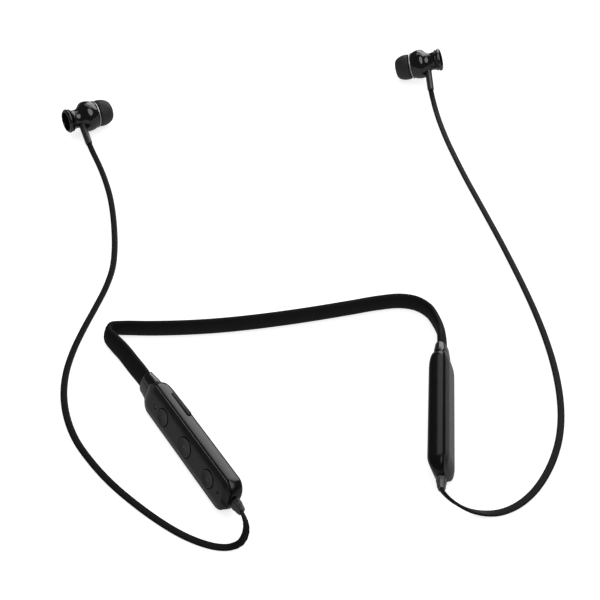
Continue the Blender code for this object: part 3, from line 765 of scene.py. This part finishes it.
def shell(profile, side):
    """A shell from a profile of (inset from the outline, height), down its outside and up its inside."""
    neck = MODULES[side]["neck"]
    half, middle = (MODULE_END - neck) / 2 + GROW, (MODULE_END + neck) / 2
    straight = half - CORNER
    # Places along the straight sides, close together where the casing thins.
    stations = [-straight + k * 0.8 for k in range(1, 6)]
    stations += [-straight + 6 + k * (2 * straight - 12) / 12 for k in range(13)]
    stations += [straight - k * 0.8 for k in range(5, 0, -1)]
    shape, rings = bmesh.new(), []
    for inset, height in profile:
        corner = max(CORNER + GROW - inset, 0.4)
        plan = rounded_plan(half - inset, HALF_WIDTH + GROW - inset, corner, stations)
        rings.append([shaped(x, y, height, half, middle, side) for x, y in plan])
    loft(shape, rings, caps="strip")
    return shape


def crown_inset(z):
    """How far inside its widest line a module's bulging side is at a height."""
    return SIDE_CROWN * ((z - WIDEST_AT) / SIDE_REACH) ** 2


def front_outside():
    """Button-face half: a crowned face that falls away to a tight edge, then a short side."""
    slope, rim = math.radians(FACE_SLOPE), FRONT_RIM
    start = FACE_EDGE * (1 - math.sin(slope))
    step = (CROWN - start) / CROWN_STEPS
    crown = [(CROWN, HALF_THICK)]
    for _ in range(CROWN_STEPS):
        inset, height = crown[-1]
        bend = 1 - ease((inset - step / 2 - CROWN + CROWN_RUN) / CROWN_RUN)
        crown.append((inset - step, height - step * math.tan(slope * bend)))
    foot, side = crown[-1][1] - FACE_EDGE * math.cos(slope), crown_inset(2.5)
    edge = [
        (
            FACE_EDGE - FACE_EDGE * math.cos(math.radians(a)) + side * (1 - math.sin(math.radians(a))),
            foot + FACE_EDGE * math.sin(math.radians(a)),
        )
        for a in (69, 60, 48, 36, 24, 12, 0)
    ]
    return [*crown, *edge, (crown_inset(rim + 0.06), rim + 0.06), (crown_inset(rim) + 0.04, rim + 0.02)]


def front_inside():
    """The same half's rim and ceiling."""
    rim, ceiling = FRONT_RIM, HALF_THICK - WALL
    return [
        (crown_inset(rim) + 0.12, rim), (0.55, rim), (0.55, ceiling), (0.9, ceiling), (CROWN, ceiling),
    ]


def rear_outside():
    """The other half, from its flat back round a generous edge to its bulging side."""
    rim, back = REAR_RIM, -HALF_THICK
    low, high = back + BACK_ROUND, rim - 0.1
    edge = [
        (
            BACK_ROUND - BACK_ROUND * math.cos(math.radians(a)),
            back + BACK_ROUND - BACK_ROUND * math.sin(math.radians(a)),
        )
        for a in range(90, -1, -10)
    ]
    bulge = [(inset + crown_inset(low) * (1 - inset / BACK_ROUND), z) for inset, z in edge]
    heights = [low + (high - low) * (k / 9) for k in range(1, 10)]
    return [
        (CROWN, back), (BACK_REACH, back), *bulge, *[(crown_inset(z), z) for z in heights],
        (crown_inset(high) + 0.04, rim - 0.03),
    ]


def rear_inside():
    """The rear half's rim, the lip that closes the seam from inside, and its floor."""
    rim, back, radius = REAR_RIM, -HALF_THICK, BACK_ROUND - WALL
    floor_edge = [
        (
            WALL + radius * (1 - math.cos(math.radians(a))),
            back + BACK_ROUND - radius * math.sin(math.radians(a)),
        )
        for a in (0, 30, 60, 90)
    ]
    return [
        (crown_inset(rim - 0.1) + 0.13, rim), (0.6, rim), (0.64, rim + 0.5), (0.96, rim + 0.5),
        (WALL, rim - 0.1), *floor_edge, (BACK_REACH, back + WALL), (CROWN, back + WALL),
    ]


def face_holes():
    """Holes in the left face for the buttons, the microphone and the status light."""
    holes = [(button_at(name), radius + GAP, 96) for name, radius in BUTTON_RADII.items()]
    holes += [(MICROPHONE_X, MICROPHONE_HOLE, 32), (LIGHT_X, LIGHT_RADIUS + GAP, 32)]
    return [("DIFFERENCE", cylinder((x, 0, 1), (x, 0, 6), radius, sides)) for x, radius, sides in holes]


def module_pieces(side):
    """A module's two shells, its collar and its gland."""
    place, body = MODULE_AXES[side], f"{side}_arm"
    outer, inner = MODULES[side]["shells"]
    neck, end = MODULES[side]["neck"], MODULE_END
    front = shell(front_outside() + front_inside(), side)
    rear = shell(rear_outside() + rear_inside(), side)
    # Passages for the wires to the band and for the lead.
    rear_cuts = [
        ("DIFFERENCE", cylinder((neck - 2, 0, 0), (neck + 3, 0, 0), 3.1, flat=0.65)),
        ("DIFFERENCE", cylinder((end - 3, 0, 0), (end + 2, 0, 0), 1.5)),
    ]
    if side == "left":
        front = carved(front, *face_holes())
        rear_cuts += port_cuts()
    rear = carved(rear, *rear_cuts)
    face = FACE_GLOSS if side == "left" else OUTER_GLOSS
    cover = piece(f"{outer}_fine", front, place, face, body, "gloss_black", outer, sharp=32)
    cover.data.materials.append(CASE_GLOSS)
    up = place.to_3x3() @ Vector((0, 0, 1))
    for polygon in cover.data.polygons:
        steep = abs(polygon.normal.dot(up)) < 0.75
        polygon.material_index = 1 if steep else 0
    base = piece(f"{inner}_fine", rear, place, CASE_GLOSS, body, "gloss_black", inner, sharp=32)
    base.data.materials.append(BAND)
    into_module = place.inverted()
    # The lip shows only as a dull line in the seam.
    for polygon in base.data.polygons:
        height = (into_module @ (polygon.center / MM)).z
        polygon.material_index = 1 if height > REAR_RIM + 0.02 else 0
    collar(side, place, body)
    gland(side, place, body)


def envelope(side):
    """A casing's outside as one closed body, a little larger than the casing."""
    outer = front_outside() + rear_outside()[::-1]
    return shell([(inset - 0.1, z + math.copysign(0.06, z)) for inset, z in outer], side)


def collar(side, place, body):
    """Oval collar with a rolled lip, its socket, a hood over the casing's end and a neck into it."""
    end, length = MODULES[side]["neck"], MODULES[side]["collar"]
    lip, foot = end - length, end + HOOD
    # Places along the outside, with how much of its growth the oval has there.
    outside = [
        (lip + 0.5, 0.0), (lip + 0.25, 0.02), (lip + 0.06, 0.12), (lip, 0.3), (lip + 0.05, 0.48),
        (lip + 0.3, 0.6), (lip + 0.34 * length, 0.7), (lip + 0.62 * length, 0.84), (end - 0.4, 1.04),
        (end + 0.8, 1.12), (foot - 0.15, 1.12), (foot, 1.04),
    ]
    socket = end - 1.1
    shape = bmesh.new()
    rings = [oval_ring(x, 4.1 + 1.25 * grow, 1.98 + 0.72 * grow) for x, grow in outside]
    rings += [
        oval_ring(foot, *COLLAR_SLEEVE), oval_ring(end - 0.9, *COLLAR_SLEEVE),
        oval_ring(end - 0.9, *COLLAR_BORE), oval_ring(socket, *COLLAR_BORE), oval_ring(socket, 4.0, 1.92),
    ]
    loft(shape, rings, closed=True)
    neck = bmesh.new()
    loft(neck, [
        oval_ring(end - 1.0, 2.8, 1.75), oval_ring(end + 2.4, *COLLAR_SLEEVE),
        oval_ring(end + 2.4, *COLLAR_BORE), oval_ring(end - 1.0, *COLLAR_BORE),
    ], closed=True)
    shape = carved(shape, ("DIFFERENCE", envelope(side)), ("UNION", neck))
    piece(f"{side}_collar_fine", shape, place, GLOSS, body, "gloss_black", f"{side}_collar", sharp=40)


def oval_ring(x, half_y, half_z, sides=64, power=2.3):
    """A slightly squarish oval across local X."""
    points = []
    for k in range(sides):
        a = 2 * math.pi * k / sides
        y = math.copysign(abs(math.cos(a)) ** (2 / power), math.cos(a)) * half_y
        z = math.copysign(abs(math.sin(a)) ** (2 / power), math.sin(a)) * half_z
        points.append(Vector((x, y, z)))
    return points


def gland(side, place, body):
    """Six-sided strain relief with softened edges and a round neck."""
    end = MODULE_END
    stations = [
        (end + GAP, 2.35), (end + GAP + 0.25, 2.6), (end + 2.2, 2.6), (end + 2.5, 2.35), (end + 2.9, 2.3),
        (end + 4.4, 2.0), (end + 4.85, 1.75),
    ]
    shape = bmesh.new()
    rings = []
    for x, radius in stations:
        corners = [
            Vector((x, radius * math.cos(a), 0.72 * radius * math.sin(a)))
            for a in (math.radians(60 * k) for k in range(6))
        ]
        ring = []
        for before, here, after in zip([corners[-1], *corners], corners, [*corners[1:], corners[0]]):
            ring += [
                here.lerp(before, 0.14), here.lerp(before, 0.04).lerp(after, 0.02),
                here.lerp(after, 0.04).lerp(before, 0.02), here.lerp(after, 0.14),
            ]
        rings.append(ring)
    loft(shape, rings)
    neck = cylinder((end - 2.2, 0, 0), (end + 1, 0, 0), 1.15, 32)
    shape = carved(shape, ("UNION", neck))
    piece(f"{side}_gland_fine", shape, place, SATIN, body, "satin_black", f"{side}_gland", sharp=30)


# ------------------------------------------------------------------------- buttons and port


def button_at(name):
    """Where a button sits along the left module's local X."""
    return (MODULE_AXES["left"].inverted() @ middle_of(name)).x


def button(name, radius):
    """A dished key with a retaining rim and a foot over its switch, and its printed mark."""
    top, flange, under = BUTTON_TOP, radius + 0.6, 1.85
    outline = [
        (0, top - 0.16), (radius * 0.3, top - 0.15), (radius * 0.6, top - 0.105),
        (radius * 0.8, top - 0.045), (radius - 0.42, top - 0.006), (radius - 0.28, top),
        (radius - 0.14, top - 0.02), (radius - 0.04, top - 0.09), (radius, top - 0.2),
        (radius, under + 0.4), (flange, under + 0.4), (flange, under), (0, under),
    ]
    shape = bmesh.new()
    turned(shape, outline)
    foot = cylinder((0, SWITCH_ROW, 0.65), (0, SWITCH_ROW, under + 0.1), 1.0, 32)
    shape = carved(shape, ("UNION", foot))
    place = MODULE_AXES["left"] @ Matrix.Translation((button_at(name), 0, 0))
    body = name.replace("_button", "_key")
    piece(f"{name}_fine", shape, place, BUTTON_GLOSS, body, "gloss_black", name, sharp=30)

    marks = {
        "volume_up_button": [bar(0, 1.9, 0.3, 0), bar(0, 1.9, 0.3, 90)],
        "volume_down_button": [bar(0, 1.9, 0.3, 0)],
        "play_button": [triangle(-0.35, 0.95), bar(0.75, 1.5, 0.28, 90), bar(1.25, 1.5, 0.28, 90)],
    }
    icon = bmesh.new()
    for corners in marks[name]:
        rings = [[Vector((x, y, height)) for x, y in corners] for height in (top - 0.3, top - 0.125)]
        loft(icon, rings, caps="flat")
    piece(f"{name}_mark", icon, place, PRINT, body, "gloss_black", sharp=30)


def bar(x, length, width, angle):
    """Corners of a small printed bar with round ends."""
    turn = Matrix.Rotation(math.radians(angle), 2)
    reach = (length - width) / 2
    ends = arc((reach, 0), width / 2, -90, 90, 6) + arc((-reach, 0), width / 2, 90, 270, 6)
    return [turn @ Vector(corner) + Vector((x, 0)) for corner in ends]


def triangle(x, radius):
    """Corners of a small printed triangle that points along local X."""
    return [
        Vector((x + radius * math.cos(a), radius * math.sin(a)))
        for a in (math.radians(120 * k) for k in range(3))
    ]


def side_place(height):
    """Frame in the left module's narrow upper side: local X along it and Z out of it."""
    return Matrix.Translation((PORT_X, height, PORT_Z)) @ Matrix.Rotation(math.radians(-90), 4, "X")


def port_cuts():
    """Pocket for the cover and the mouth of the charging port."""
    half_long, half_wide = COVER_LENGTH / 2 + GAP * 0.6, COVER_WIDTH / 2 + GAP * 0.6
    pocket = slab(half_long, half_wide, half_wide, -COVER_THICK - 0.1, 2, side_place(HALF_WIDTH))
    mouth = slab(PORT_MOUTH[0] / 2, PORT_MOUTH[1] / 2, 0.5, -3, 2, side_place(HALF_WIDTH))
    return [("DIFFERENCE", pocket), ("DIFFERENCE", mouth)]


def port_cover():
    """Silicone cover: a stadium with soft edges, a pull lip at its free end and a plug below."""
    half_long, half_wide = COVER_LENGTH / 2, COVER_WIDTH / 2
    lip_height, lip_length, lip_rise = 0.34, 2.6, 1.6
    profile = [
        (0.25, -COVER_THICK), (0.06, -COVER_THICK + 0.06), (0, -COVER_THICK + 0.25), (0, -0.3),
        (0.06, -0.12), (0.18, -0.02), (0.38, 0.03), (0.8, 0.06),
    ]
    shape = bmesh.new()
    rings = []
    for inset, height in profile:
        plan = rounded_plan(half_long - inset, half_wide - inset, half_wide - inset)
        lift = lip_height if height > -0.5 else 0
        rings.append([
            Vector((x, y, height + lift * ease((x - half_long + lip_length) / lip_rise))) for x, y in plan
        ])
    loft(shape, rings, caps="strip")
    plug = slab(PORT_MOUTH[0] / 2 - 0.6, PORT_MOUTH[1] / 2 - 0.45, 0.3, -2.8, -COVER_THICK + 0.2)
    shape = carved(shape, ("UNION", plug))
    place = MODULE_AXES["left"] @ side_place(HALF_WIDTH + 0.3)
    piece("port_cover_fine", shape, place, COVER, "charging_cover", "band_silicone", "port_cover", sharp=40)


# ------------------------------------------------------------------------------------ neckband


def band_end(side, inset):
    """Where the band's route ends in a module, and its roll there."""
    at = MODULE_AXES[side] @ Vector((MODULES[side]["neck"] + inset, 0, 0))
    return Vector((*at, MODULES[side]["roll"]))


def neckband():
    """Jacket, wire and battery lead, each in a left and a right half."""
    route_ends = band_end("left", -JACKET_INSET), band_end("right", -JACKET_INSET)
    points = smooth_route([route_ends[0], *BAND_ROUTE, route_ends[1]], BAND_SPACING)
    wires = [band_end("left", WIRE_INSET), *points, band_end("right", WIRE_INSET)]
    jacket = oval(BAND_THICKNESS, BAND_HEIGHT, 48, BAND_FOOT, power=2.15)
    hollow = oval(CHANNEL_WIDTH, CHANNEL_HEIGHT, 48)
    wire = oval(2 * WIRE_RADIUS, 2 * WIRE_RADIUS, 20, middle=-WIRE_OFFSET)
    lead_wire = oval(2 * WIRE_RADIUS, 2 * WIRE_RADIUS, 20, middle=WIRE_OFFSET)
    runs = [
        ("neckband_jacket", points, (jacket, hollow), BAND, "band_silicone"),
        ("memory_wire", wires, (wire,), STEEL, "bare_steel"),
        ("battery_lead", wires, (lead_wire,), INSULATION, "wire_red"),
    ]
    for node, route, outlines, finish, slot in runs:
        centre = min(range(len(route)), key=lambda k: abs(route[k].x))
        rings = [sections(route, outline) for outline in outlines]
        for side, part in (("left", slice(0, centre + 1)), ("right", slice(centre, None))):
            shape = bmesh.new()
            if len(rings) == 1:
                loft(shape, rings[0][part])
            else:
                loft(shape, rings[0][part] + rings[1][part][::-1], closed=True)
            name = f"{node}_{side}_half"
            half = piece(name, shape, Matrix(), finish, None, slot, node, sharp=50)
            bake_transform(half)


# -------------------------------------------------------------------------------------- buds


def bud(side):
    """An earbud from its back cap to its tip, in outlines of (radius, distance along the axis)."""
    place, arm = BUD_AXES[side], f"{side}_arm"

    def add(node, outline, finish, slot, body=arm, closed=False, sharp=30):
        shape = bmesh.new()
        turned(shape, outline, closed=closed)
        piece(f"{side}_{node}_fine", shape, place, finish, body, slot, f"{side}_{node}", sharp=sharp)

    add("back_cap", [
        (0, 1.9), (4.7, 1.9), (4.95, 1.85), *arc((4.95, 0.95), 0.62, 75, -75, 10), (4.95, 0.08),
        (4.7, 0.0), (4.5, 0.03), (4.38, 0.14), (4.25, 0.7), (4.1, 0.86), (3.8, 0.9), (0, 0.9),
    ], GLOSS, "gloss_black")
    # A near-black disc that reflects almost nothing lies in the cap's dish. It is painted shade that keeps
    # the dish dark.
    disc = bmesh.new()
    turned(disc, [
        (0, 0.86), (3.6, 0.86), (4.02, 0.72), (4.17, 0.4), (4.24, 0.42), (4.1, 0.8), (3.9, 0.94), (0, 0.94),
    ])
    piece(f"{side}_dish_painted_shade", disc, place, DISH_SHADE, arm, "satin_black")
    rear_housing(side, place, arm)
    stem(side, place, arm)
    add("trim_ring", [
        (5.4, 15.28), (6.05, 15.28), *arc((6.12, RING_AT), 0.28, 70, -70, 6), (6.05, 14.72), (5.4, 14.72),
    ], BRIGHT, "bright_trim", closed=True)
    add("nozzle", [
        (1.8, 20.6), (2.45, 20.6), (2.6, 20.45), (2.75, 20.2), (2.75, 19.6), (2.45, 19.3), (2.45, 16.6),
        (2.7, 16.1), (3.6, 15.8), (5.1, 15.6), (5.1, 14.7), (1.8, 14.7),
    ], SATIN, "satin_black", closed=True)
    dome = [
        (3.3 + 2.95 * math.sin(math.radians(a)), 17.2 + 5.7 * math.cos(math.radians(a)))
        for a in range(8, 91, 6)
    ]
    add("ear_tip", [
        (2.95, 22.72), (3.05, 22.84), (3.3, 22.9), *dome, (6.22, 16.8), (6.1, 16.2), (6.0, 15.95),
        (5.85, 15.9), (5.6, 16.0), (5.6, 17.2), (5.4, 18.6), (5.0, 19.8), (4.4, 20.7), (3.9, 21.0),
        (3.65, 20.6), (3.6, 16.7), (3.5, 16.6), (3.0, 16.6), (2.92, 16.7),
    ], TIP, "tip_silicone", f"{side}_tip", closed=True, sharp=50)


def rear_housing(side, place, body):
    """Waisted barrel, hollow behind the driver, with a hole for the stem."""
    outline = [
        (5.3, 14.4), (6.2, 14.4), (6.28, 14.3), (6.4, 14.0), (6.66, 13.3), (6.92, 12.4), (7.1, 11.4),
        (7.17, 10.6), (7.12, 9.9), (6.98, 9.3), (6.72, 8.8), (6.2, 8.2), (5.5, 7.6), (4.95, 7.0),
        (4.6, 6.4), (4.4, 5.8), (4.32, 5.1), (4.34, 4.4), (4.44, 3.7), (4.66, 3.1), (5.0, 2.64),
        (5.25, 2.44), (5.28, 2.3), (5.2, 2.2), (3.5, 2.2), (3.5, 5.4), (0, 5.4), (0, 6.4), (3.4, 6.4),
        (3.7, 7.8), (5.4, 9.0), (5.7, 10.6), (5.3, 12.6),
    ]
    shape = bmesh.new()
    turned(shape, outline, closed=True)
    root, way = Vector((0, 0, STEM_AT)), STEM_WAY[side]
    hole = cylinder(root + way * 3.0, root + way * 9.0, STEM_RADIUS + 0.12, 48)
    shape = carved(shape, ("DIFFERENCE", hole))
    name = f"{side}_rear_housing"
    piece(f"{name}_fine", shape, place, GLOSS, body, "gloss_black", name, sharp=30)


def stem(side, place, body):
    """Tapered stem with a softened end, round its lead."""
    root, way, up = Vector((0, 0, STEM_AT)), STEM_WAY[side], Vector((0, 1, 0))
    across = way.cross(up).normalized()
    # Distances along the stem, with the share of its radius there.
    stations = [
        (STEM_ROOT, 1.0), (6.0, 1.0), (9.0, 0.985), (12.0, 0.965), (14.25, 0.95), (14.6, 0.93),
        (14.77, 0.86), (14.85, 0.76),
    ]
    shape = bmesh.new()
    rings = []
    for along, share in stations:
        radius = STEM_RADIUS * share
        rings.append([
            root + way * along + radius * (math.cos(a) * across + math.sin(a) * up)
            for a in (2 * math.pi * k / 48 for k in range(48))
        ])
    loft(shape, rings)
    piece(f"{side}_stem_fine", shape, place, SATIN, body, "satin_black", f"{side}_stem", sharp=40)


# --------------------------------------------------------------------------- what stays of the CAD


def inner_finishes():
    """Finishes of the CAD solids that stay."""
    finishes = {
        "main_board": BOARD, "protection_board": BOARD, "bluetooth_chip": CHIP, "microphone": GOLD,
        "status_light": LIGHT_PIPE, "usb_socket": STEEL, "battery_cell": FOIL,
    }
    for name in BUTTON_RADII:
        finishes[name.replace("_button", "_switch")] = STEEL
    for side in BUDS:
        finishes[f"{side}_magnet"] = STEEL
        finishes[f"{side}_driver"] = FOIL
        finishes[f"{side}_nozzle_mesh"] = MESH
    for node, finish in finishes.items():
        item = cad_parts[node]
        item.data.materials.clear()
        item.data.materials.append(finish)


stage()
for side in LEAD_ROUTES:
    lead(side)
lights()
neckband()
for side in MODULES:
    module_pieces(side)
for name, radius in BUTTON_RADII.items():
    button(name, radius)
port_cover()
for side in BUDS:
    bud(side)
inner_finishes()
